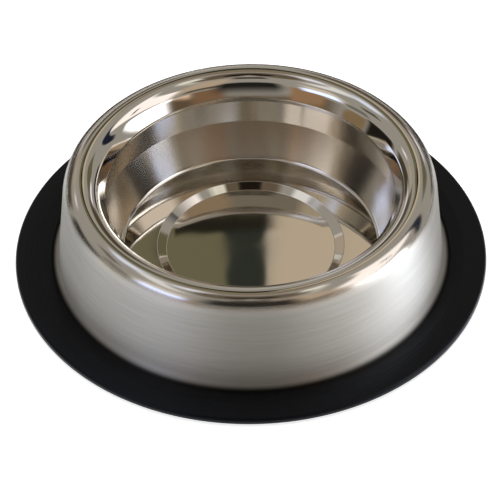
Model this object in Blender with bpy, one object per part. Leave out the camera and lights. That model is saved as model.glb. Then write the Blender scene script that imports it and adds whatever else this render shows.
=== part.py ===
"""Non-slip stainless cat bowl: a pressed steel bowl standing in a moulded rubber ring.

The bowl is one sheet of steel. Seen along a radius it runs from the stamped floor, up the
basin wall, under and over the curled rim bead, down the outer skirt and out along the foot
flare to a flat flange. The rubber ring is a separate moulding whose groove holds the flange.
Both bodies are turned about the Z axis. Metres, +Z up, the sole of the ring at z = 0.
"""
import math

import bmesh
import bpy

MM = 0.001

# Steel sheet
GAUGE = 0.7 * MM
LEAST_BEND = 0.15 * MM

# Floor of the basin: a centre disc set lower than the floor around it
DISC_HEIGHT = 3.9 * MM
FLOOR_RISE = 1.3 * MM
DISC_RADIUS = 28.3 * MM
STEP_WIDTH = 3.0 * MM
STEP_BEND = 1.0 * MM

# Basin wall: a lower cone, a crease, then a steeper band below the bead
FLOOR_RADIUS = 43.1 * MM
FLOOR_BEND = 1.4 * MM
CONE_RUN = 6.5 * MM
CONE_HEIGHT = 12.0 * MM
CREASE_BEND = 1.0 * MM
BAND_HEIGHT = 7.6 * MM
BAND_DRAFT = 2.4 * MM
NECK_BEND = 1.2 * MM

# Rim bead, curled over so that its inner lip overhangs the band
CREST_RADIUS = 55.3 * MM
CREST_HEIGHT = 36.0 * MM
BEAD_INNER_BEND = 6.8 * MM
BEAD_OUTER_BEND = 6.2 * MM
BEAD_SLOPE = math.radians(31.0)
LIP_HEIGHT = 28.8 * MM
LIP_BEND = 1.2 * MM

# Outer skirt, foot flare and flange
SKIRT_TAPER = math.radians(6.2)
FOOT_HEIGHT = 5.4 * MM
FOOT_BEND = 2.0 * MM
FLARE_RUN = 3.1 * MM
FLARE_BEND = 1.4 * MM
FLANGE_WIDTH = 5.5 * MM

# Rubber ring: a sole under the flange, a wall outside it and a sloping lip up to the flare
CLEARANCE = 0.3 * MM
SOLE_THICKNESS = 1.2 * MM
SOLE_WIDTH = 10.9 * MM
WALL_WIDTH = 5.9 * MM
LIP_THICKNESS = 1.4 * MM
LIP_SLOPE_RUN = 2.8 * MM
LIP_RISE = 0.25 * MM
LIP_EDGE = 0.3 * MM
CROWN_WIDTH = 3.1 * MM
SHOULDER_DROP = 0.5 * MM
SHOULDER_ROUND = 1.2 * MM
FOOT_TUCK = 1.7 * MM
FOOT_TUCK_HEIGHT = 1.6 * MM
EDGE_ROUND = 0.4 * MM

# Facets
TURN_STEPS = 72
BEND_STEP = math.radians(24.0)
BEND_FACET = 0.4 * MM
SAME_POINT = 0.02 * MM
SHARP_EDGE = math.radians(50.0)

# Finish: base colour (linear), metallic, roughness
STEEL = ((0.60, 0.58, 0.55), 1.0, 0.18)
RUBBER = ((0.012, 0.012, 0.012), 0.0, 0.55)


def unit(a, b):
    """Direction and distance from corner a to corner b in the (radius, height) plane."""
    run, rise = b[0] - a[0], b[1] - a[1]
    length = math.hypot(run, rise)
    return run / length, rise / length, length


def turn_at(before, corner, after):
    """Angle the path turns through at a corner, positive to the left."""
    in_run, in_rise, _ = unit(before, corner)
    out_run, out_rise, _ = unit(corner, after)
    return math.atan2(in_run * out_rise - in_rise * out_run, in_run * out_run + in_rise * out_rise)


def bend_reaches(corners):
    """Length each bend takes from the straights beside it, cut back where two would meet."""
    wanted = [0.0]
    for before, corner, after in zip(corners, corners[1:], corners[2:]):
        wanted.append(abs(corner[2] * math.tan(turn_at(before, corner, after) / 2.0)))
    wanted.append(0.0)
    share = [1.0] * len(corners)
    for index in range(len(corners) - 1):
        length = unit(corners[index], corners[index + 1])[2]
        asked = wanted[index] + wanted[index + 1]
        if asked > length:
            share[index] = min(share[index], length / asked)
            share[index + 1] = min(share[index + 1], length / asked)
    return [reach * part for reach, part in zip(wanted, share)]


def rounded(corners):
    """Points along a path of (radius, height, bend) corners with every bend drawn as an arc."""
    points = [corners[0][:2]]
    reaches = bend_reaches(corners)
    for index in range(1, len(corners) - 1):
        before, corner, after = corners[index - 1:index + 2]
        turn = turn_at(before, corner, after)
        in_run, in_rise, _ = unit(before, corner)
        reach = reaches[index]
        bend = reach / math.tan(turn / 2.0)
        start = (corner[0] - in_run * reach, corner[1] - in_rise * reach)
        centre = (start[0] - in_rise * bend, start[1] + in_run * bend)
        arm = (start[0] - centre[0], start[1] - centre[1])
        arc = abs(bend * turn)
        steps = max(1, min(math.ceil(abs(turn) / BEND_STEP), math.ceil(arc / BEND_FACET)))
        for step in range(steps + 1):
            cos_a, sin_a = math.cos(turn * step / steps), math.sin(turn * step / steps)
            point = (
                centre[0] + arm[0] * cos_a - arm[1] * sin_a,
                centre[1] + arm[0] * sin_a + arm[1] * cos_a,
            )
            if math.dist(point, points[-1]) > SAME_POINT:
                points.append(point)
    points.append(corners[-1][:2])
    return points


def other_face(corners):
    """The same path on the other face of the sheet: every corner moved right by one gauge."""
    moved = []
    last = len(corners) - 1
    for index, corner in enumerate(corners):
        before = corners[max(index - 1, 0)]
        after = corners[min(index + 1, last)]
        turn = 0.0 if index in (0, last) else turn_at(before, corner, after)
        run, rise, _ = unit(before, corner) if index else unit(corner, after)
        slide = GAUGE * math.tan(turn / 2.0)
        moved.append((
            corner[0] + GAUGE * rise + slide * run,
            corner[1] - GAUGE * run + slide * rise,
            max(corner[2] + math.copysign(GAUGE, turn), LEAST_BEND),
        ))
    return moved


def sheet_path():
    """Corners of the sheet's open face, from the axis out to the edge of the flange."""
    floor_height = DISC_HEIGHT + FLOOR_RISE
    crease_radius = FLOOR_RADIUS + CONE_RUN
    crease_height = floor_height + CONE_HEIGHT
    neck_height = crease_height + BAND_HEIGHT
    inner_turn = (math.pi / 2.0 - BEAD_SLOPE) / 2.0
    outer_turn = (math.pi / 2.0 - SKIRT_TAPER) / 2.0
    inner_corner = CREST_RADIUS - BEAD_INNER_BEND * math.tan(inner_turn)
    outer_corner = CREST_RADIUS + BEAD_OUTER_BEND * math.tan(outer_turn)
    lip_radius = inner_corner - (CREST_HEIGHT - LIP_HEIGHT) * math.tan(BEAD_SLOPE)
    foot_radius = outer_corner + (CREST_HEIGHT - FOOT_HEIGHT) * math.tan(SKIRT_TAPER)
    flange_height = SOLE_THICKNESS + CLEARANCE + GAUGE
    flare_radius = foot_radius + FLARE_RUN
    return [
        (0.0, DISC_HEIGHT, 0.0),
        (DISC_RADIUS, DISC_HEIGHT, STEP_BEND),
        (DISC_RADIUS + STEP_WIDTH, floor_height, STEP_BEND),
        (FLOOR_RADIUS, floor_height, FLOOR_BEND),
        (crease_radius, crease_height, CREASE_BEND),
        (crease_radius + BAND_DRAFT, neck_height, NECK_BEND),
        (lip_radius, LIP_HEIGHT, LIP_BEND),
        (inner_corner, CREST_HEIGHT, BEAD_INNER_BEND),
        (outer_corner, CREST_HEIGHT, BEAD_OUTER_BEND),
        (foot_radius, FOOT_HEIGHT, FOOT_BEND),
        (flare_radius, flange_height, FLARE_BEND),
        (flare_radius + FLANGE_WIDTH, flange_height, 0.0),
    ]


def beside_flare(foot, flare, height):
    """A point at the given height that stands one clearance off the face of the foot flare."""
    run, rise, _ = unit(foot, flare)
    start = (foot[0] - rise * CLEARANCE, foot[1] + run * CLEARANCE)
    return start[0] + (height - start[1]) * run / rise, height


def ring_path(bowl_path):
    """Corners of the ring's section, clockwise, with its groove set out from the bowl's foot."""
    foot, flare, flange = bowl_path[-3:]
    flat_start = flare[0] + FLARE_BEND * math.tan(turn_at(foot, flare, flange) / 2.0)
    groove_radius = flange[0] + CLEARANCE
    groove_top = flange[1] + CLEARANCE
    crown = groove_top + LIP_THICKNESS
    shoulder = crown - SHOULDER_DROP
    lip_radius = flat_start + CLEARANCE
    lip_height = groove_top + LIP_RISE
    crown_radius = lip_radius + LIP_SLOPE_RUN
    outer_radius = groove_radius + WALL_WIDTH
    foot_radius = outer_radius - FOOT_TUCK
    sole_radius = foot_radius - SOLE_WIDTH
    sole_middle = SOLE_THICKNESS / 2.0
    return [
        (sole_radius, sole_middle, 0.0),
        (sole_radius, SOLE_THICKNESS, EDGE_ROUND),
        (groove_radius, SOLE_THICKNESS, 0.0),
        (groove_radius, groove_top, 0.0),
        (lip_radius, groove_top, 0.0),
        (*beside_flare(foot, flare, lip_height), 0.0),
        (*beside_flare(foot, flare, lip_height + LIP_EDGE), 0.0),
        (crown_radius, crown, EDGE_ROUND),
        (crown_radius + CROWN_WIDTH, crown, 0.0),
        (outer_radius, shoulder, SHOULDER_ROUND),
        (outer_radius, FOOT_TUCK_HEIGHT, EDGE_ROUND),
        (foot_radius, 0.0, EDGE_ROUND),
        (sole_radius, 0.0, EDGE_ROUND),
        (sole_radius, sole_middle, 0.0),
    ]


def turned(name, outline, finish):
    """One closed body made by spinning an outline in the XZ plane once round the Z axis.

    An outline that starts and ends on the axis closes there in two points; any other outline
    is taken as a loop whose last point joins its first.
    """
    shape = bmesh.new()
    points = [shape.verts.new((radius, 0.0, height)) for radius, height in outline]
    edges = [shape.edges.new(pair) for pair in zip(points, points[1:])]
    if outline[0][0] > SAME_POINT:
        edges.append(shape.edges.new((points[-1], points[0])))
    bmesh.ops.spin(
        shape,
        geom=points + edges,
        axis=(0.0, 0.0, 1.0),
        cent=(0.0, 0.0, 0.0),
        angle=math.tau,
        steps=TURN_STEPS,
        use_merge=True,
    )
    bmesh.ops.remove_doubles(shape, verts=shape.verts, dist=SAME_POINT)
    bmesh.ops.recalc_face_normals(shape, faces=shape.faces)
    mesh = bpy.data.meshes.new(name)
    shape.to_mesh(mesh)
    shape.free()
    mesh.shade_smooth()
    mesh.set_sharp_from_angle(angle=SHARP_EDGE)
    mesh.materials.append(finish)
    body = bpy.data.objects.new(name, mesh)
    bpy.context.collection.objects.link(body)
    return body


def material(name, finish):
    """A Principled material with the given base colour, metallic and roughness."""
    colour, metallic, roughness = finish
    made = bpy.data.materials.new(name)
    made.use_nodes = True
    shader = made.node_tree.nodes["Principled BSDF"]
    shader.inputs["Base Color"].default_value = (*colour, 1.0)
    shader.inputs["Metallic"].default_value = metallic
    shader.inputs["Roughness"].default_value = roughness
    made.diffuse_color = (*colour, 1.0)
    return made


def main():
    for old in list(bpy.data.objects):
        bpy.data.objects.remove(old, do_unlink=True)

    path = sheet_path()
    sheet = rounded(path) + rounded(other_face(path))[::-1]
    turned("steel_bowl", sheet, material("stainless_steel", STEEL))
    turned("rubber_ring", rounded(ring_path(path))[:-1], material("black_rubber", RUBBER))


main()
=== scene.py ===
"""Studio scene of the non-slip stainless cat bowl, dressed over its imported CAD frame.

The bowl is one pressed sheet of steel: mirror polished in the basin and over the rim bead, satin
on the outer skirt. It stands in a moulded black rubber ring. Both are bodies of revolution, so one
Geometry Nodes tree turns both from their sections. Metres, +Z up, the sole of the ring at z = 0.
"""

import logging
import math
from dataclasses import dataclass, field
from enum import Enum
from typing import ClassVar

import bpy
from mathutils import Matrix, Vector

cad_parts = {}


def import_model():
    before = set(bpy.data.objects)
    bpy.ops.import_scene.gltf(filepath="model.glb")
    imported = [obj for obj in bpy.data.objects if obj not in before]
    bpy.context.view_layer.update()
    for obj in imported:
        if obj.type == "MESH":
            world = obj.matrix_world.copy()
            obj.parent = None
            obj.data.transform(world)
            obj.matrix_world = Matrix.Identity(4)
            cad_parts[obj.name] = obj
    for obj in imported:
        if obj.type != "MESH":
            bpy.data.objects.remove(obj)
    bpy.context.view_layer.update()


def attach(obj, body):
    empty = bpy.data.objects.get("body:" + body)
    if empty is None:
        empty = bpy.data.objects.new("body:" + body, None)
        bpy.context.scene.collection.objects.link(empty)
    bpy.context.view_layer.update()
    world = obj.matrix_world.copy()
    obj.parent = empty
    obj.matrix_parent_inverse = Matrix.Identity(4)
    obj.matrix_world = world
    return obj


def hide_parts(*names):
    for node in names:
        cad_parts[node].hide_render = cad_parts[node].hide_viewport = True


LOG = logging.getLogger("cat_bowl")
MM = 0.001
WHITE = "#FFFFFF"

Corner = tuple[float, float, float]
Point = tuple[float, float]
Colour = tuple[float, float, float, float]


def linear(code: str) -> Colour:
    """Turns an sRGB hex code into the linear colour that Blender's sockets take.

    Args:
        code: Six hex digits with a leading hash sign.

    Returns:
        Linear red, green, blue and an alpha of 1.
    """
    # The bare numbers are the sRGB curve's own constants.
    channels = [int(code[start:start + 2], 16) / 255.0 for start in (1, 3, 5)]
    red, green, blue = [
        value / 12.92 if value <= 0.04045 else ((value + 0.055) / 1.055) ** 2.4
        for value in channels
    ]
    return red, green, blue, 1.0


def add_node(
    tree: bpy.types.NodeTree,
    kind: str,
    settings: dict[str, object] | None = None,
    inputs: dict[str | int, object] | None = None,
) -> bpy.types.Node:
    """Adds one node to a tree, with its settings, its constants and its incoming links.

    Args:
        tree: Node tree that gets the node.
        kind: Blender's identifier of the node type.
        settings: Property values of the node, set first because they can change its sockets.
        inputs: A constant or an output socket for each input, by socket name or number.

    Returns:
        The new node.
    """
    node = tree.nodes.new(kind)
    for name, value in (settings or {}).items():
        setattr(node, name, value)
    for key, value in (inputs or {}).items():
        if isinstance(value, bpy.types.NodeSocket):
            tree.links.new(value, node.inputs[key])
        else:
            node.inputs[key].default_value = value
    return node


def axis_distance(tree: bpy.types.NodeTree, place: bpy.types.NodeSocket) -> bpy.types.NodeSocket:
    """Measures how far each point of a piece lies from the Z axis.

    Args:
        tree: Material tree that gets the nodes.
        place: Output that holds the point's object coordinates.

    Returns:
        An output with the distance in metres.
    """
    parts = add_node(tree, "ShaderNodeSeparateXYZ", inputs={0: place}).outputs
    level = add_node(tree, "ShaderNodeCombineXYZ", inputs={0: parts["X"], 1: parts["Y"]})
    return add_node(
        tree, "ShaderNodeVectorMath", {"operation": "LENGTH"}, {0: level.outputs[0]}
    ).outputs["Value"]


class Slot(Enum):
    """Material slots of the CAD record."""

    STEEL = "stainless_steel"
    RUBBER = "black_rubber"


@dataclass(frozen=True)
class Section:
    """A path of (radius, height, bend) corners in millimetres, read from the axis outwards."""

    corners: tuple[Corner, ...]
    bend_step: float = math.radians(5.0)

    @staticmethod
    def heading(start: Corner, end: Corner) -> tuple[float, float, float]:
        """Measures one straight of the path.

        Args:
            start: Corner that the straight leaves.
            end: Corner that the straight reaches.

        Returns:
            Run and rise of the unit direction, and the length.
        """
        run, rise = end[0] - start[0], end[1] - start[1]
        length = math.hypot(run, rise)
        return run / length, rise / length, length

    def turn(self, index: int) -> float:
        """Measures how far the path turns at a corner.

        Args:
            index: Place of the corner in the path.

        Returns:
            The angle in radians, positive to the left, and zero at both ends of the path.
        """
        if index in (0, len(self.corners) - 1):
            return 0.0
        before, corner, after = self.corners[index - 1:index + 2]
        in_run, in_rise, _ = self.heading(before, corner)
        out_run, out_rise, _ = self.heading(corner, after)
        return math.atan2(
            in_run * out_rise - in_rise * out_run, in_run * out_run + in_rise * out_rise
        )

    def reaches(self) -> list[float]:
        """Lists the length that each bend takes from the straights beside it.

        Returns:
            One length for each corner, cut back where two bends would meet.
        """
        wanted = [
            abs(corner[2] * math.tan(self.turn(index) / 2.0))
            for index, corner in enumerate(self.corners)
        ]
        share = [1.0] * len(wanted)
        for index in range(len(wanted) - 1):
            length = self.heading(self.corners[index], self.corners[index + 1])[2]
            asked = wanted[index] + wanted[index + 1]
            if asked > length:
                share[index] = min(share[index], length / asked)
                share[index + 1] = min(share[index + 1], length / asked)
        return [reach * part for reach, part in zip(wanted, share)]

    def points(self) -> list[Point]:
        """Draws the path with every bend as a fine arc.

        Returns:
            Radius and height of each point, in millimetres.
        """
        drawn = [self.corners[0][:2]]
        for index, reach in list(enumerate(self.reaches()))[1:-1]:
            corner = self.corners[index]
            if reach == 0.0:
                drawn.append(corner[:2])
                continue
            turn = self.turn(index)
            run, rise, _ = self.heading(self.corners[index - 1], corner)
            bend = reach / math.tan(turn / 2.0)
            start = (corner[0] - run * reach, corner[1] - rise * reach)
            centre = (start[0] - rise * bend, start[1] + run * bend)
            steps = max(2, math.ceil(abs(turn) / self.bend_step))
            for step in range(steps + 1):
                angle = turn * step / steps
                arm = (start[0] - centre[0], start[1] - centre[1])
                drawn.append((
                    centre[0] + arm[0] * math.cos(angle) - arm[1] * math.sin(angle),
                    centre[1] + arm[0] * math.sin(angle) + arm[1] * math.cos(angle),
                ))
        drawn.append(self.corners[-1][:2])
        return drawn

    def other_face(self, gauge: float, least_bend: float) -> "Section":
        """Offsets the path to the other face of a sheet.

        Args:
            gauge: Thickness of the sheet in millimetres, laid to the right of the path.
            least_bend: Smallest radius that the offset leaves on an inside bend.

        Returns:
            The section of the other face, read in the same direction.
        """
        moved = []
        for index, corner in enumerate(self.corners):
            if index:
                run, rise, _ = self.heading(self.corners[index - 1], corner)
            else:
                run, rise, _ = self.heading(corner, self.corners[1])
            turn = self.turn(index)
            slide = gauge * math.tan(turn / 2.0)
            # A path that starts on the axis stays on it, so that the pole closes.
            moved.append((
                corner[0] + gauge * rise + slide * run if corner[0] else 0.0,
                corner[1] - gauge * run + slide * rise,
                max(corner[2] + math.copysign(gauge, turn), least_bend),
            ))
        return Section(tuple(moved), self.bend_step)


class TurnedBody:
    """Geometry Nodes tree that turns a section, given as a chain of points, about the Z axis."""

    MERGE = 0.001 * MM

    def __init__(self) -> None:
        """Builds the tree with its named inputs."""
        self.tree = bpy.data.node_groups.new("turned_body", "GeometryNodeTree")
        for name, kind, flow in (
            ("Section", "NodeSocketGeometry", "INPUT"),
            ("Turn Steps", "NodeSocketInt", "INPUT"),
            ("Crease Angle", "NodeSocketFloat", "INPUT"),
            ("Material", "NodeSocketMaterial", "INPUT"),
            ("Body", "NodeSocketGeometry", "OUTPUT"),
        ):
            self.tree.interface.new_socket(name, in_out=flow, socket_type=kind)
        self._lay_nodes()

    def _lay_nodes(self) -> None:
        """Lays a grid over steps and section points, then bends it round the axis."""
        tree = self.tree
        given = add_node(tree, "NodeGroupInput").outputs
        size = add_node(
            tree, "GeometryNodeAttributeDomainSize", {"component": "MESH"}, {0: given["Section"]}
        )
        count = size.outputs["Point Count"]
        columns = add_node(
            tree, "ShaderNodeMath", {"operation": "ADD"}, {0: given["Turn Steps"], 1: 1.0}
        )
        grid = add_node(
            tree,
            "GeometryNodeMeshGrid",
            inputs={"Vertices X": columns.outputs[0], "Vertices Y": count},
        )
        index = add_node(tree, "GeometryNodeInputIndex").outputs[0]
        row = add_node(tree, "ShaderNodeMath", {"operation": "MODULO"}, {0: index, 1: count})
        share = add_node(tree, "ShaderNodeMath", {"operation": "DIVIDE"}, {0: index, 1: count})
        column = add_node(tree, "ShaderNodeMath", {"operation": "FLOOR"}, {0: share.outputs[0]})
        part = add_node(
            tree,
            "ShaderNodeMath",
            {"operation": "DIVIDE"},
            {0: column.outputs[0], 1: given["Turn Steps"]},
        )
        angle = add_node(
            tree, "ShaderNodeMath", {"operation": "MULTIPLY"}, {0: part.outputs[0], 1: math.tau}
        )
        sample = add_node(
            tree,
            "GeometryNodeSampleIndex",
            {"data_type": "FLOAT_VECTOR", "domain": "POINT"},
            {
                "Geometry": given["Section"],
                "Value": add_node(tree, "GeometryNodeInputPosition").outputs[0],
                "Index": row.outputs[0],
            },
        )
        spin = add_node(
            tree,
            "ShaderNodeVectorRotate",
            {"rotation_type": "Z_AXIS"},
            {"Vector": sample.outputs["Value"], "Angle": angle.outputs[0]},
        )
        placed = add_node(
            tree,
            "GeometryNodeSetPosition",
            inputs={"Geometry": grid.outputs["Mesh"], "Position": spin.outputs[0]},
        )
        joined = add_node(
            tree,
            "GeometryNodeMergeByDistance",
            inputs={"Geometry": placed.outputs[0], "Distance": self.MERGE},
        )
        smooth = add_node(
            tree, "GeometryNodeSetShadeSmooth", {"domain": "FACE"}, {0: joined.outputs[0]}
        )
        bend = add_node(tree, "GeometryNodeInputMeshEdgeAngle")
        flat = add_node(
            tree,
            "FunctionNodeCompare",
            {"data_type": "FLOAT", "operation": "LESS_EQUAL"},
            {0: bend.outputs["Unsigned Angle"], 1: given["Crease Angle"]},
        )
        creased = add_node(
            tree,
            "GeometryNodeSetShadeSmooth",
            {"domain": "EDGE"},
            {0: smooth.outputs[0], "Shade Smooth": flat.outputs[0]},
        )
        real = add_node(tree, "GeometryNodeRealizeInstances", inputs={0: creased.outputs[0]})
        dressed = add_node(
            tree,
            "GeometryNodeSetMaterial",
            inputs={"Geometry": real.outputs[0], "Material": given["Material"]},
        )
        add_node(tree, "NodeGroupOutput", inputs={0: dressed.outputs[0]})

    def make(
        self,
        name: str,
        outline: list[Point],
        steps: int,
        crease: float,
        material: bpy.types.Material,
    ) -> bpy.types.Object:
        """Turns one closed outline into a plain mesh object.

        Args:
            name: Name of the piece.
            outline: Radius and height of each point in millimetres, anticlockwise as seen with
                the radius to the right; it starts and ends on the axis, or repeats its first point.
            steps: Number of facets round the axis.
            crease: Angle in radians above which an edge is drawn sharp.
            material: Finish of the whole body.

        Returns:
            The finished object at the origin.
        """
        chain = bpy.data.meshes.new(name + "_section")
        chain.from_pydata(
            [(radius * MM, 0.0, height * MM) for radius, height in outline],
            [(index, index + 1) for index in range(len(outline) - 1)],
            [],
        )
        maker = bpy.data.objects.new(name + "_maker", chain)
        bpy.context.collection.objects.link(maker)
        modifier = maker.modifiers.new("turned_body", "NODES")
        modifier.node_group = self.tree
        wanted = {"Turn Steps": steps, "Crease Angle": crease, "Material": material}
        for socket in self.tree.interface.items_tree:
            if socket.name in wanted:
                modifier[socket.identifier] = wanted[socket.name]
        bpy.context.view_layer.update()
        shape = maker.evaluated_get(bpy.context.evaluated_depsgraph_get())
        mesh = bpy.data.meshes.new_from_object(shape)
        mesh.name = name
        bpy.data.objects.remove(maker, do_unlink=True)
        bpy.data.meshes.remove(chain)
        body = bpy.data.objects.new(name, mesh)
        bpy.context.collection.objects.link(body)
        LOG.info("%s: %d faces from %d section points", name, len(mesh.polygons), len(outline))
        return body


@dataclass(frozen=True)
class PressedSteel:
    """Drawn stainless sheet: a clear mirror where it is buffed, a soft sheen where it is satin."""

    mirror: str = "#DEDAD2"
    satin: str = "#D6D6D3"
    brushed: str = "#BEBEBA"
    # The flare colour is painted shade: the dark crevice where the steel runs under the ring's lip.
    flare: str = "#2E2D2B"
    mirror_roughness: float = 0.035
    satin_roughness: float = 0.58
    stretch: float = 0.9
    stretch_turn: float = 0.25
    wall_roughness: float = 0.13
    bead_roughness: float = 0.14
    flare_roughness: float = 0.45
    bead_from: float = 54.0 * MM
    buffed_to: float = 59.4 * MM
    satin_from: float = 61.9 * MM
    satin_to: float = 64.9 * MM
    flare_from: float = 66.4 * MM
    wall_from: float = 5.4 * MM
    wall_to: float = 26.0 * MM
    wall_fade: float = 1.5 * MM
    wave_size: float = 14.0 * MM
    wave_height: float = 0.03 * MM
    wave_detail: float = 1.0
    grain_size: float = 0.5 * MM
    grain_spread: float = 0.05
    grain_detail: float = 2.0
    streak_length: float = 22.0 * MM
    streak_squeeze: float = 26.0
    streak_detail: float = 4.0

    def material(self) -> bpy.types.Material:
        """Builds the material.

        Returns:
            One steel whose finish changes with the distance from the axis.
        """
        made = bpy.data.materials.new("stainless_steel_pressed")
        made.use_nodes = True
        tree = made.node_tree
        shader = tree.nodes["Principled BSDF"]
        shader.inputs["Metallic"].default_value = 1.0
        # The belt's lines run round the skirt, so they smear a reflection up and down it.
        shader.inputs["Anisotropic"].default_value = self.stretch
        shader.inputs["Anisotropic Rotation"].default_value = self.stretch_turn
        round_axis = add_node(tree, "ShaderNodeTangent", {"direction_type": "RADIAL", "axis": "Z"})
        tree.links.new(round_axis.outputs[0], shader.inputs["Tangent"])
        place = add_node(tree, "ShaderNodeTexCoord").outputs["Object"]
        parts = add_node(tree, "ShaderNodeSeparateXYZ", inputs={0: place}).outputs
        radius = axis_distance(tree, place)
        # The buffing wheel stops on the shoulder of the bead, so the mirror fades into satin there.
        satin = add_node(
            tree,
            "ShaderNodeMapRange",
            {"interpolation_type": "SMOOTHSTEP"},
            {"Value": radius, "From Min": self.buffed_to, "From Max": self.satin_from},
        ).outputs[0]
        # Into the corner at the foot, where the steel runs under the ring, the colour is painted dark
        # as shade of the crevice, and the steel is drawn rougher there.
        flare = add_node(
            tree,
            "ShaderNodeMapRange",
            {"interpolation_type": "SMOOTHSTEP"},
            {"Value": radius, "From Min": self.satin_to, "From Max": self.flare_from},
        ).outputs[0]
        # The belt leaves long faint streaks round the skirt, lighter and darker by turns.
        squeezed = add_node(
            tree,
            "ShaderNodeVectorMath",
            {"operation": "MULTIPLY"},
            {0: place, 1: (1.0, 1.0, self.streak_squeeze)},
        )
        streaks = add_node(
            tree,
            "ShaderNodeTexNoise",
            inputs={
                "Vector": squeezed.outputs[0],
                "Scale": 1.0 / self.streak_length,
                "Detail": self.streak_detail,
            },
        )
        brushed = add_node(
            tree,
            "ShaderNodeMix",
            {"data_type": "RGBA"},
            {0: streaks.outputs[0], 6: linear(self.satin), 7: linear(self.brushed)},
        )
        buffed = add_node(
            tree,
            "ShaderNodeMix",
            {"data_type": "RGBA"},
            {0: satin, 6: linear(self.mirror), 7: brushed.outputs[2]},
        )
        colour = add_node(
            tree,
            "ShaderNodeMix",
            {"data_type": "RGBA"},
            {0: flare, 6: buffed.outputs[2], 7: linear(self.flare)},
        )
        tree.links.new(colour.outputs[2], shader.inputs["Base Color"])
        # The grain of the satin belt runs round the skirt; it is drawn coarser than the real lines,
        # which are finer than a pixel.
        lines = add_node(tree, "ShaderNodeCombineXYZ", inputs={0: radius, 1: parts["Z"]})
        grain = add_node(
            tree,
            "ShaderNodeTexNoise",
            {"noise_dimensions": "2D"},
            {
                "Vector": lines.outputs[0],
                "Scale": 1.0 / self.grain_size,
                "Detail": self.grain_detail,
            },
        )
        belt = add_node(
            tree,
            "ShaderNodeMapRange",
            inputs={
                "Value": grain.outputs[0],
                "To Min": self.satin_roughness - self.grain_spread,
                "To Max": self.satin_roughness + self.grain_spread,
            },
        )
        outside = add_node(
            tree,
            "ShaderNodeMapRange",
            inputs={"Value": flare, "To Min": belt.outputs[0], "To Max": self.flare_roughness},
        )
        # The mop runs round the basin wall, so its reflections smear a little up and down.
        above = add_node(
            tree,
            "ShaderNodeMapRange",
            {"interpolation_type": "SMOOTHSTEP"},
            {
                "Value": parts["Z"],
                "From Min": self.wall_from,
                "From Max": self.wall_from + self.wall_fade,
                "To Min": self.mirror_roughness,
                "To Max": self.wall_roughness,
            },
        )
        inside = add_node(
            tree,
            "ShaderNodeMapRange",
            {"interpolation_type": "SMOOTHSTEP"},
            {
                "Value": parts["Z"],
                "From Min": self.wall_to - self.wall_fade,
                "From Max": self.wall_to,
                "To Min": above.outputs[0],
                "To Max": self.mirror_roughness,
            },
        )
        # The outer half of the bead has had fewer passes of the mop than the inner one.
        bead = add_node(
            tree,
            "ShaderNodeMapRange",
            {"interpolation_type": "SMOOTHSTEP"},
            {
                "Value": radius,
                "From Min": self.bead_from,
                "From Max": self.buffed_to,
                "To Min": inside.outputs[0],
                "To Max": self.bead_roughness,
            },
        )
        gloss = add_node(
            tree,
            "ShaderNodeMapRange",
            inputs={"Value": satin, "To Min": bead.outputs[0], "To Max": outside.outputs[0]},
        )
        tree.links.new(gloss.outputs[0], shader.inputs["Roughness"])
        # Thin drawn sheet is never quite true, so straight reflections waver a little.
        wave = add_node(
            tree,
            "ShaderNodeTexNoise",
            inputs={"Vector": place, "Scale": 1.0 / self.wave_size, "Detail": self.wave_detail},
        )
        bump = add_node(
            tree,
            "ShaderNodeBump",
            inputs={"Strength": 1.0, "Distance": self.wave_height, "Height": wave.outputs[0]},
        )
        tree.links.new(bump.outputs[0], shader.inputs["Normal"])
        return made


@dataclass(frozen=True)
class MouldedRubber:
    """Black rubber from a blasted mould: a dull skin with a faint grey sheen on its edges."""

    colour: str = "#050505"
    worn: str = "#0C0C0D"
    roughness: float = 0.32
    specular: float = 0.24
    sheen: str = "#D2DDF2"
    skin_size: float = 0.6 * MM
    skin_height: float = 0.02 * MM
    skin_detail: float = 3.0
    mark_size: float = 0.9 * MM
    mark_height: float = 0.06 * MM
    mark_detail: float = 2.0

    def material(self) -> bpy.types.Material:
        """Builds the material.

        Returns:
            A dark rubber with a fine skin and faint turned rings.
        """
        made = bpy.data.materials.new("black_rubber_moulded")
        made.use_nodes = True
        tree = made.node_tree
        shader = tree.nodes["Principled BSDF"]
        shader.inputs["Roughness"].default_value = self.roughness
        shader.inputs["Specular IOR Level"].default_value = self.specular
        shader.inputs["Specular Tint"].default_value = linear(self.sheen)
        place = add_node(tree, "ShaderNodeTexCoord").outputs["Object"]
        # The mould was turned on a lathe, which leaves faint rings; they are drawn coarser to show.
        marks = add_node(
            tree,
            "ShaderNodeTexNoise",
            {"noise_dimensions": "1D"},
            {
                "W": axis_distance(tree, place),
                "Scale": 1.0 / self.mark_size,
                "Detail": self.mark_detail,
            },
        )
        colour = add_node(
            tree,
            "ShaderNodeMix",
            {"data_type": "RGBA"},
            {0: marks.outputs[0], 6: linear(self.colour), 7: linear(self.worn)},
        )
        tree.links.new(colour.outputs[2], shader.inputs["Base Color"])
        # The skin of a blasted mould is finer than a pixel, so it is drawn coarser.
        skin = add_node(
            tree,
            "ShaderNodeTexNoise",
            inputs={"Vector": place, "Scale": 1.0 / self.skin_size, "Detail": self.skin_detail},
        )
        rings = add_node(
            tree,
            "ShaderNodeBump",
            inputs={"Strength": 1.0, "Distance": self.mark_height, "Height": marks.outputs[0]},
        )
        bump = add_node(
            tree,
            "ShaderNodeBump",
            inputs={
                "Strength": 1.0,
                "Distance": self.skin_height,
                "Height": skin.outputs[0],
                "Normal": rings.outputs[0],
            },
        )
        tree.links.new(bump.outputs[0], shader.inputs["Normal"])
        return made


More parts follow.
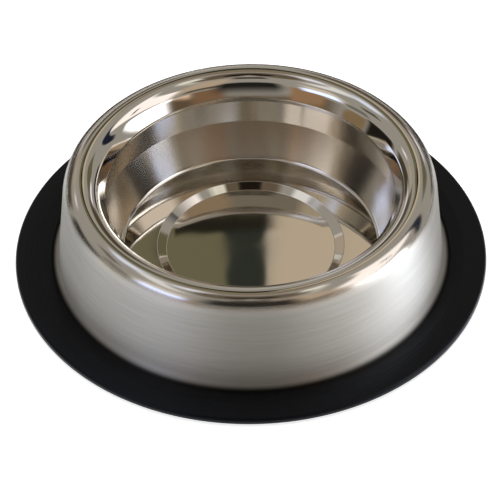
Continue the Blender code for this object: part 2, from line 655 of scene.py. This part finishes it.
@dataclass
class SteelBowl:
    """The pressed bowl: basin, rim bead, skirt, foot flare and flange. Sizes in millimetres."""

    gauge: float = 0.7
    least_bend: float = 0.15
    disc_height: float = 3.9
    floor_rise: float = 1.3
    disc_radius: float = 28.3
    disc_crown: float = 0.3
    disc_steps: int = 12
    step_width: float = 3.0
    step_bend: float = 0.6
    floor_radius: float = 43.1
    floor_bend: float = 1.4
    cone_run: float = 6.5
    cone_height: float = 12.0
    crease_bend: float = 1.0
    band_height: float = 7.6
    band_draft: float = 2.4
    neck_bend: float = 1.2
    crest_radius: float = 55.3
    crest_height: float = 36.0
    bead_inner_bend: float = 6.8
    bead_outer_bend: float = 6.2
    bead_slope: float = math.radians(31.0)
    lip_height: float = 28.8
    lip_bend: float = 1.2
    skirt_taper: float = math.radians(6.2)
    foot_height: float = 5.4
    foot_bend: float = 2.0
    flare_run: float = 3.1
    flare_bend: float = 1.4
    flange_width: float = 5.5
    flange_height: float = 2.2
    turn_steps: int = 320
    crease_angle: float = math.radians(50.0)
    finish: PressedSteel = field(default_factory=PressedSteel)

    def section(self) -> Section:
        """Sets out the open face of the sheet.

        Returns:
            The face's section, from the axis to the edge of the flange.
        """
        floor_height = self.disc_height + self.floor_rise
        crease_radius = self.floor_radius + self.cone_run
        crease_height = floor_height + self.cone_height
        inner_turn = (math.pi / 2.0 - self.bead_slope) / 2.0
        outer_turn = (math.pi / 2.0 - self.skirt_taper) / 2.0
        inner_corner = self.crest_radius - self.bead_inner_bend * math.tan(inner_turn)
        outer_corner = self.crest_radius + self.bead_outer_bend * math.tan(outer_turn)
        lip_drop = self.crest_height - self.lip_height
        skirt_drop = self.crest_height - self.foot_height
        foot_radius = outer_corner + skirt_drop * math.tan(self.skirt_taper)
        flare_radius = foot_radius + self.flare_run
        # A drawn floor is never dead flat: its middle stands a little proud, as a shallow crown.
        disc = [
            (
                self.disc_radius * step / self.disc_steps,
                self.disc_height + self.disc_crown * (1.0 - (step / self.disc_steps) ** 2),
                0.0,
            )
            for step in range(self.disc_steps)
        ]
        return Section((
            *disc,
            (self.disc_radius, self.disc_height, self.step_bend),
            (self.disc_radius + self.step_width, floor_height, self.step_bend),
            (self.floor_radius, floor_height, self.floor_bend),
            (crease_radius, crease_height, self.crease_bend),
            (crease_radius + self.band_draft, crease_height + self.band_height, self.neck_bend),
            (inner_corner - lip_drop * math.tan(self.bead_slope), self.lip_height, self.lip_bend),
            (inner_corner, self.crest_height, self.bead_inner_bend),
            (outer_corner, self.crest_height, self.bead_outer_bend),
            (foot_radius, self.foot_height, self.foot_bend),
            (flare_radius, self.flange_height, self.flare_bend),
            (flare_radius + self.flange_width, self.flange_height, 0.0),
        ))

    def build(self, turner: TurnedBody) -> bpy.types.Object:
        """Turns and dresses the bowl and puts it in the frame.

        Args:
            turner: Tree that turns a section.

        Returns:
            The finished piece.
        """
        face = self.section()
        back = face.other_face(self.gauge, self.least_bend)
        outline = back.points() + face.points()[::-1]
        piece = turner.make(
            "bowl_shell", outline, self.turn_steps, self.crease_angle, self.finish.material()
        )
        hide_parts("steel_bowl")
        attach(piece, "root")
        return piece


@dataclass
class RubberRing:
    """The non-slip ring: sole, wall and a lip that slopes down to the flare. Sizes in millimetres."""

    sole_inner: float = 66.39
    sole_thickness: float = 1.2
    groove_radius: float = 73.09
    groove_top: float = 2.5
    lip_radius: float = 68.18
    tip_radius: float = 67.17
    tip_height: float = 2.75
    tip_edge: float = 0.3
    crown_inner: float = 71.0
    crown_outer: float = 74.1
    crown_height: float = 3.9
    shoulder_height: float = 3.4
    shoulder_round: float = 1.2
    outer_radius: float = 78.98
    tuck_height: float = 1.6
    foot_radius: float = 77.29
    edge_round: float = 0.4
    turn_steps: int = 320
    crease_angle: float = math.radians(50.0)
    finish: MouldedRubber = field(default_factory=MouldedRubber)

    def section(self) -> Section:
        """Sets out the section of the moulding.

        Returns:
            A closed section, anticlockwise, that starts halfway up the inner edge of the sole.
        """
        middle = self.sole_thickness / 2.0
        return Section((
            (self.sole_inner, middle, 0.0),
            (self.sole_inner, 0.0, self.edge_round),
            (self.foot_radius, 0.0, self.edge_round),
            (self.outer_radius, self.tuck_height, self.edge_round),
            (self.outer_radius, self.shoulder_height, self.shoulder_round),
            (self.crown_outer, self.crown_height, 0.0),
            (self.crown_inner, self.crown_height, self.edge_round),
            (self.tip_radius - self.tip_edge, self.tip_height + self.tip_edge, 0.0),
            (self.tip_radius, self.tip_height, 0.0),
            (self.lip_radius, self.groove_top, 0.0),
            (self.groove_radius, self.groove_top, 0.0),
            (self.groove_radius, self.sole_thickness, 0.0),
            (self.sole_inner, self.sole_thickness, self.edge_round),
            (self.sole_inner, middle, 0.0),
        ))

    def build(self, turner: TurnedBody) -> bpy.types.Object:
        """Turns and dresses the ring and puts it in the frame.

        Args:
            turner: Tree that turns a section.

        Returns:
            The finished piece.
        """
        piece = turner.make(
            "ring_moulding",
            self.section().points(),
            self.turn_steps,
            self.crease_angle,
            self.finish.material(),
        )
        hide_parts("rubber_ring")
        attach(piece, "root")
        return piece


@dataclass(frozen=True)
class Reflector:
    """One soft-edged board that only shiny surfaces see, placed by its direction from the bowl.

    Angles in degrees. Azimuth 0 is behind the bowl, 90 to its right and 180 behind the camera.
    """

    CUTS: ClassVar[int] = 16
    MIDDLE: ClassVar[float] = 0.5

    name: str
    azimuth: float
    width: float
    colour: str
    strength: float = field(default=1.0, kw_only=True)
    feather: float = field(default=0.4, kw_only=True)

    def build(self, distance: float) -> bpy.types.Object:
        """Builds the board as a fine grid.

        Args:
            distance: Radius in metres of the sphere that the hung boards lie on.

        Returns:
            The staged board.
        """
        cuts = self.CUTS
        mesh = bpy.data.meshes.new(self.name)
        corners = [
            (across / cuts, up / cuts) for up in range(cuts + 1) for across in range(cuts + 1)
        ]
        row = cuts + 1
        mesh.from_pydata(
            [self._place(across, up, distance) for across, up in corners],
            [],
            [
                (start, start + 1, start + row + 1, start + row)
                for start in range(row * cuts)
                if start % row < cuts
            ],
        )
        sheet = mesh.uv_layers.new(name="board")
        for loop in mesh.loops:
            sheet.data[loop.index].uv = corners[loop.vertex_index]
        mesh.materials.append(self._material())
        board = bpy.data.objects.new(self.name, mesh)
        bpy.context.collection.objects.link(board)
        hide_from_all_but_gloss(board)
        return board

    def _turned(self, across: float) -> Point:
        """Gives the level direction at a share of the width, as its X and Y parts."""
        azimuth = math.radians(self.azimuth + (across - self.MIDDLE) * self.width)
        return math.sin(azimuth), math.cos(azimuth)

    def _place(self, across: float, up: float, distance: float) -> Vector:
        """Places one corner of the grid; each kind of board has its own way.

        Args:
            across: Share of the width, from 0 to 1.
            up: Share of the height, from 0 to 1.
            distance: Radius of the sphere in metres.

        Returns:
            The corner's position.
        """
        raise NotImplementedError

    def _material(self) -> bpy.types.Material:
        """Builds the board's glow, which fades out towards its edges.

        Returns:
            An emission that turns clear within the feathered border.
        """
        made = bpy.data.materials.new(self.name)
        made.use_nodes = True
        tree = made.node_tree
        tree.nodes.clear()
        sheet = add_node(tree, "ShaderNodeUVMap", {"uv_map": "board"}).outputs[0]
        middle = add_node(
            tree,
            "ShaderNodeVectorMath",
            {"operation": "SUBTRACT"},
            {0: sheet, 1: (self.MIDDLE, self.MIDDLE, 0.0)},
        )
        span = add_node(
            tree, "ShaderNodeVectorMath", {"operation": "ABSOLUTE"}, {0: middle.outputs[0]}
        )
        sides = add_node(tree, "ShaderNodeSeparateXYZ", inputs={0: span.outputs[0]}).outputs
        masks = [
            add_node(
                tree,
                "ShaderNodeMapRange",
                {"interpolation_type": "SMOOTHSTEP"},
                {
                    "Value": sides[axis],
                    "From Min": self.MIDDLE,
                    "From Max": self.MIDDLE - self.MIDDLE * self.feather,
                },
            ).outputs[0]
            for axis in ("X", "Y")
        ]
        cover = add_node(
            tree, "ShaderNodeMath", {"operation": "MULTIPLY"}, {0: masks[0], 1: masks[1]}
        )
        glow = add_node(
            tree,
            "ShaderNodeEmission",
            inputs={"Color": linear(self.colour), "Strength": self.strength},
        )
        clear = add_node(tree, "ShaderNodeBsdfTransparent")
        mixed = add_node(
            tree,
            "ShaderNodeMixShader",
            inputs={0: cover.outputs[0], 1: clear.outputs[0], 2: glow.outputs[0]},
        )
        add_node(tree, "ShaderNodeOutputMaterial", inputs={"Surface": mixed.outputs[0]})
        return made


@dataclass(frozen=True)
class HungBoard(Reflector):
    """A board on the sphere round the bowl.

    Lean is how much higher its right end hangs than its left one, arch how far its middle is lifted,
    and close is its own distance in metres where it hangs nearer than the sphere.
    """

    elevation: float
    height: float
    lean: float = 0.0
    arch: float = 0.0
    close: float = field(default=0.0, kw_only=True)

    def _place(self, across: float, up: float, distance: float) -> Vector:
        """Places one corner on the sphere.

        Args:
            across: Share of the width, from 0 to 1.
            up: Share of the height, from 0 to 1.
            distance: Radius of the sphere in metres.

        Returns:
            The corner's position.
        """
        lift = self.lean * (across - self.MIDDLE) + self.arch * (1.0 - (2.0 * across - 1.0) ** 2)
        elevation = math.radians(self.elevation + (up - self.MIDDLE) * self.height + lift)
        right, away = self._turned(across)
        level = math.cos(elevation)
        return Vector((level * right, level * away, math.sin(elevation))) * (self.close or distance)


@dataclass(frozen=True)
class FloorBoard(Reflector):
    """A board that lies on the floor from one distance to another, in metres."""

    near: float
    far: float
    thickness: float = 0.2 * MM

    def _place(self, across: float, up: float, distance: float) -> Vector:
        """Places one corner on the floor, with finer steps towards the bowl.

        Args:
            across: Share of the width, from 0 to 1.
            up: Share of the depth, from 0 to 1.
            distance: Radius of the sphere in metres, which the board keeps inside.

        Returns:
            The corner's position.
        """
        reach = min(self.near + (self.far - self.near) * up ** 2, distance)
        right, away = self._turned(across)
        return Vector((right * reach, away * reach, self.thickness))


def hide_from_all_but_gloss(board: bpy.types.Object) -> None:
    """Keeps a stage object out of every ray but those from shiny surfaces.

    Args:
        board: Object that only reflections are to show.
    """
    board.visible_camera = False
    board.visible_diffuse = False
    board.visible_shadow = False
    board.visible_transmission = False
    board.visible_volume_scatter = False


@dataclass
class Studio:
    """Pale floor, white surround, one soft lamp and the boards that the steel reflects."""

    floor_half: float = 4.0
    floor_drop: float = 0.05 * MM
    floor_colour: str = "#F0F0F0"
    floor_glow: float = 0.72
    ambient: float = 0.55
    dome_radius: float = 3.6
    dome_colour: str = "#A5A099"
    dome_segments: int = 64
    dome_rings: int = 32
    board_gap: float = 0.03
    lamp_size: float = 1.6
    lamp_height: float = 1.6
    lamp_watts: float = 9.0
    reflectors: tuple[Reflector, ...] = ()

    def build(self) -> None:
        """Builds the whole stage."""
        self._world()
        self._floor()
        self._lamp()
        self._dome()
        # Each board hangs a little nearer than the one before, so the later ones cover it.
        for place, reflector in enumerate(self.reflectors, start=1):
            reflector.build(self.dome_radius - self.board_gap * place)
        LOG.info("studio: %d reflectors", len(self.reflectors))

    def _seen(self, tree: bpy.types.NodeTree) -> bpy.types.NodeSocket:
        """Finds the rays that show a surface to the eye, straight or by way of metal or glass.

        Args:
            tree: Node tree that asks.

        Returns:
            An output that is 1 for camera, glossy and transmission rays.
        """
        path = add_node(tree, "ShaderNodeLightPath").outputs
        gloss = add_node(
            tree,
            "ShaderNodeMath",
            {"operation": "MAXIMUM"},
            {0: path["Is Camera Ray"], 1: path["Is Glossy Ray"]},
        )
        return add_node(
            tree,
            "ShaderNodeMath",
            {"operation": "MAXIMUM"},
            {0: gloss.outputs[0], 1: path["Is Transmission Ray"]},
        ).outputs[0]

    def _world(self) -> None:
        """Makes the surround white to the eye and an even ambient light for the rest."""
        world = bpy.data.worlds.new("surround")
        bpy.context.scene.world = world
        world.use_nodes = True
        tree = world.node_tree
        tree.nodes.clear()
        level = add_node(
            tree,
            "ShaderNodeMapRange",
            inputs={"Value": self._seen(tree), "To Min": self.ambient, "To Max": 1.0},
        )
        sky = add_node(
            tree,
            "ShaderNodeBackground",
            inputs={"Color": linear(WHITE), "Strength": level.outputs[0]},
        )
        add_node(tree, "ShaderNodeOutputWorld", inputs={"Surface": sky.outputs[0]})

    def _floor(self) -> None:
        """Lays the pale floor, which keeps the soft shadow of the ring."""
        half = self.floor_half
        drop = -self.floor_drop
        mesh = bpy.data.meshes.new("floor")
        mesh.from_pydata(
            [(-half, -half, drop), (half, -half, drop), (half, half, drop), (-half, half, drop)],
            [],
            [(0, 1, 2, 3)],
        )
        made = bpy.data.materials.new("pale_floor")
        made.use_nodes = True
        tree = made.node_tree
        shader = tree.nodes["Principled BSDF"]
        shader.inputs["Base Color"].default_value = linear(self.floor_colour)
        shader.inputs["Roughness"].default_value = 1.0
        shader.inputs["Emission Color"].default_value = linear(WHITE)
        glow = add_node(
            tree,
            "ShaderNodeMath",
            {"operation": "MULTIPLY"},
            {0: self._seen(tree), 1: self.floor_glow},
        )
        tree.links.new(glow.outputs[0], shader.inputs["Emission Strength"])
        mesh.materials.append(made)
        floor = bpy.data.objects.new("floor", mesh)
        bpy.context.collection.objects.link(floor)

    def _lamp(self) -> None:
        """Hangs one large soft lamp over the bowl."""
        lamp = bpy.data.lights.new("overhead_softbox", "AREA")
        lamp.shape = "DISK"
        lamp.size = self.lamp_size
        lamp.energy = self.lamp_watts
        hung = bpy.data.objects.new("overhead_softbox", lamp)
        hung.location = (0.0, 0.0, self.lamp_height)
        hung.visible_glossy = False
        bpy.context.collection.objects.link(hung)

    def _dome(self) -> None:
        """Stands the plain warm surround that the polished steel reflects."""
        bpy.ops.mesh.primitive_uv_sphere_add(
            radius=self.dome_radius, segments=self.dome_segments, ring_count=self.dome_rings
        )
        dome = bpy.context.object
        dome.name = "warm_surround"
        made = bpy.data.materials.new("warm_surround")
        made.use_nodes = True
        tree = made.node_tree
        tree.nodes.clear()
        glow = add_node(
            tree,
            "ShaderNodeEmission",
            inputs={"Color": linear(self.dome_colour), "Strength": 1.0},
        )
        add_node(tree, "ShaderNodeOutputMaterial", inputs={"Surface": glow.outputs[0]})
        dome.data.materials.append(made)
        hide_from_all_but_gloss(dome)


@dataclass(frozen=True)
class PhotoCamera:
    """A long lens above the near side of the bowl, aimed close to its centre."""

    distance: float = 0.79
    elevation: float = math.radians(43.28)
    pan: float = math.radians(-0.02)
    tilt: float = math.radians(0.11)
    roll: float = math.radians(-0.72)
    focal_pixels: float = 2344.0
    image_pixels: float = 500.0
    sensor: float = 36.0

    def build(self) -> bpy.types.Object:
        """Places the camera and makes it the scene's own.

        Returns:
            The camera object.
        """
        lens = bpy.data.cameras.new("photo_camera")
        lens.sensor_width = self.sensor
        lens.lens = self.focal_pixels / self.image_pixels * self.sensor
        spot = Vector((0.0, -math.cos(self.elevation), math.sin(self.elevation))) * self.distance
        aim = Matrix.Rotation(math.pi / 2.0 - self.elevation, 3, "X")
        nudge = (
            Matrix.Rotation(-self.pan, 3, "Y")
            @ Matrix.Rotation(self.tilt, 3, "X")
            @ Matrix.Rotation(self.roll, 3, "Z")
        )
        camera = bpy.data.objects.new("photo_camera", lens)
        camera.matrix_world = Matrix.Translation(spot) @ (aim @ nudge).to_4x4()
        bpy.context.collection.objects.link(camera)
        bpy.context.scene.camera = camera
        return camera


# Plain boards, each with its azimuth, width and colour, then its place: nearest and farthest point
# on the floor, or elevation, height, lean and arch where it hangs.
REFLECTORS = (
    FloorBoard("white_card_right", 104.0, 46.0, "#F2F5FF", 0.08, 0.3, strength=6.0, feather=1.0),
    FloorBoard("grey_card_front", 180.0, 70.0, "#D2CDC3", 0.08, 0.3, feather=0.9),
    FloorBoard("dark_board_left", -50.0, 90.0, "#2E2E2B", 0.15, 1.6),
    FloorBoard("dark_board_right", 50.0, 80.0, "#23262C", 0.15, 1.6),
    FloorBoard("brown_board_far", 0.0, 110.0, "#3A342C", 0.1, 1.2, feather=0.25),
    HungBoard(
        "white_panel_left", -72.0, 112.0, "#FFFFFF", 64.0, 11.0, -6.0, 2.0, strength=0.9, feather=0.6
    ),
    HungBoard("brown_panel_top", 0.0, 360.0, "#6A5D4E", 84.0, 22.0, feather=0.4),
    HungBoard("brown_panel_far", 0.0, 30.0, "#8A7E6C", 58.0, 30.0, feather=0.5),
    HungBoard("dark_flag_top", 0.0, 360.0, "#1E1814", 87.0, 9.0, feather=0.3),
    HungBoard("dark_panel_back", 180.0, 56.0, "#4E463C", 72.0, 13.0, feather=0.4),
    HungBoard("cream_panel_left", -118.0, 46.0, "#E4D9C8", 46.0, 32.0, feather=0.6),
    HungBoard("tan_panel_right", 140.0, 62.0, "#C4B09A", 54.0, 48.0, feather=0.6),
    HungBoard(
        "pale_panel_right", 86.0, 78.0, "#FFF6F3", 48.0, 28.0, -14.0, strength=1.4, feather=0.3
    ),
    HungBoard("white_softbox_right", 103.0, 46.0, "#FAFBFF", 18.0, 24.0, strength=4.0),
    HungBoard("peach_card_right", 131.0, 18.0, "#FFD9BC", 18.0, 17.0, strength=1.1, feather=0.5),
    HungBoard("brown_panel_back", 180.0, 150.0, "#665543", 11.0, 24.0, feather=0.3),
    HungBoard("umber_panel_right", 146.0, 42.0, "#665A4A", 36.0, 13.0, feather=0.5),
    HungBoard("brown_card_right", 150.0, 34.0, "#86684E", 21.0, 14.0, feather=0.6),
    HungBoard("tan_card_back", -137.0, 34.0, "#A07F60", 26.0, 26.0, feather=0.5),
    HungBoard("dark_flag_back", 180.0, 70.0, "#262422", 46.5, 33.0, feather=0.45, close=0.25),
    HungBoard("blue_card_back", -124.0, 40.0, "#C8D6FF", 37.0, 19.0, strength=2.2, feather=0.5),
    HungBoard("grey_panel_left", -95.0, 26.0, "#77756F", 31.0, 14.0, feather=0.5),
    HungBoard("brown_card_left", -100.0, 24.0, "#8A7558", 10.0, 15.0),
    HungBoard("dark_flag_left", -75.0, 34.0, "#221F1B", 9.0, 30.0),
    HungBoard("brown_flag_left", -42.0, 32.0, "#4A4235", 9.0, 26.0),
    HungBoard("grey_strip_left", -70.0, 24.0, "#5C584F", 47.0, 7.0),
    HungBoard("pink_strip_left", -38.0, 16.0, "#FFF4F8", 34.0, 6.0, feather=0.6),
    HungBoard("navy_strip_right", 58.0, 34.0, "#202635", 33.0, 13.0, -34.0),
    HungBoard("olive_strip_right", 78.5, 6.0, "#4A4639", 47.5, 8.0),
    HungBoard("dark_flag_right", 38.0, 32.0, "#2A2C30", 2.0, 18.0),
    HungBoard(
        "cream_strip_right", 78.0, 90.0, "#FFFCEF", 69.0, 5.0, 0.0, 4.0, strength=0.6, feather=0.6
    ),
    HungBoard("cream_strip_far", 46.0, 48.0, "#FFFAEC", 73.0, 8.0, 8.0, feather=0.6),
    HungBoard("blue_strip_left", -36.0, 42.0, "#E6ECFF", 57.0, 11.0, -6.0, strength=1.1, feather=0.7),
    HungBoard("blue_strip_far", -33.0, 44.0, "#E6E8F4", 70.0, 9.0, -6.0, strength=1.2, feather=0.7),
    HungBoard("olive_flag_far_left", -15.0, 24.0, "#5A5346", 22.0, 22.0, feather=0.5),
    HungBoard("brown_flag_far_right", 14.0, 22.0, "#544738", 22.0, 22.0, feather=0.5),
    HungBoard("pale_strip_low", -16.0, 44.0, "#E8E2DE", 16.0, 8.0, feather=0.6),
    HungBoard("olive_board_right", 30.0, 18.0, "#6B664E", 32.0, 17.0),
    HungBoard("tan_board_left", -30.0, 16.0, "#B5A896", 30.0, 14.0),
    HungBoard("white_strip_far", 28.0, 14.0, "#F4F0FF", 21.5, 6.0, strength=1.3, feather=0.6),
    HungBoard("tan_board_far", 6.0, 12.0, "#CBBBA4", 44.0, 12.0),
    HungBoard("olive_board_far", -6.4, 15.4, "#746F57", 45.0, 14.0, feather=0.06),
    HungBoard("dark_strip_far", -0.35, 3.5, "#323630", 45.5, 12.0, feather=0.35),
    HungBoard("dark_bar_far", -2.2, 9.6, "#23201A", 41.4, 1.9),
)


def main() -> None:
    """Loads the frame, dresses it and sets the stage."""
    logging.basicConfig(level=logging.INFO, format="%(name)s: %(message)s")
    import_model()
    turner = TurnedBody()
    SteelBowl().build(turner)
    RubberRing().build(turner)
    Studio(reflectors=REFLECTORS).build()
    PhotoCamera().build()
    bpy.context.scene.view_settings.view_transform = "Standard"


if __name__ == "__main__":
    main()
